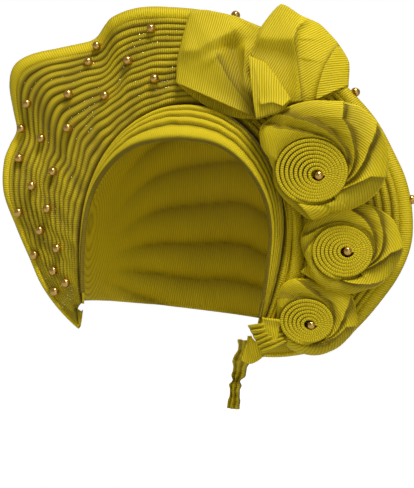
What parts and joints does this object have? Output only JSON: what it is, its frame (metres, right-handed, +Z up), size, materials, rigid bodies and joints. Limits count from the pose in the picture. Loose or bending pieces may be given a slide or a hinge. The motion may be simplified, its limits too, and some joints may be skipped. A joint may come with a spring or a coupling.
{
  "type": "tied gele head tie",
  "caption": "Pre-tied gele head tie in ribbed lemon cloth: a concentric pleated fan, brow wrap, bow loops and coiled rosettes, set with round gold-tone beads.",
  "frame": {"origin": "the crown's inner apex, where the head tie rests on top of the head", "axes": "+X to the viewer's right as the wearer faces the viewer, +Y to the back of the head, +Z up"},
  "size_m": [0.2833, 0.1828, 0.2736],
  "materials": {
    "lemon_cloth": "finely ribbed cloth, matt with a soft sheen",
    "bead_metal": "polished gold tone"
  },
  "bodies": {
    "root": {"crown_cap": "lemon_cloth", "brow_wrap": "lemon_cloth", "pleated_fan": "lemon_cloth", "side_drape": "lemon_cloth", "left_bow_loop": "lemon_cloth", "right_bow_loop": "lemon_cloth", "front_bow_loop": "lemon_cloth", "rosette_1_petals": "lemon_cloth", "rosette_1_coil": "lemon_cloth", "rosette_2_petals": "lemon_cloth", "rosette_2_coil": "lemon_cloth", "rosette_3_petals": "lemon_cloth", "rosette_3_coil": "lemon_cloth", "ear_gather": "lemon_cloth", "side_flap": "lemon_cloth", "tie_tail": "lemon_cloth", "rosette_1_bead": "bead_metal", "rosette_2_bead": "bead_metal", "rosette_3_bead": "bead_metal", "bead_01": "bead_metal", "bead_02": "bead_metal", "bead_03": "bead_metal", "bead_04": "bead_metal", "bead_05": "bead_metal", "bead_06": "bead_metal", "bead_07": "bead_metal", "bead_08": "bead_metal", "bead_09": "bead_metal", "bead_10": "bead_metal", "bead_11": "bead_metal", "bead_12": "bead_metal", "bead_13": "bead_metal", "bead_14": "bead_metal", "bead_15": "bead_metal", "bead_16": "bead_metal", "bead_17": "bead_metal", "bead_18": "bead_metal", "bead_19": "bead_metal", "bead_20": "bead_metal", "bead_21": "bead_metal", "bead_22": "bead_metal", "bead_23": "bead_metal", "bead_24": "bead_metal", "bead_25": "bead_metal"}
  },
  "joints": []
}
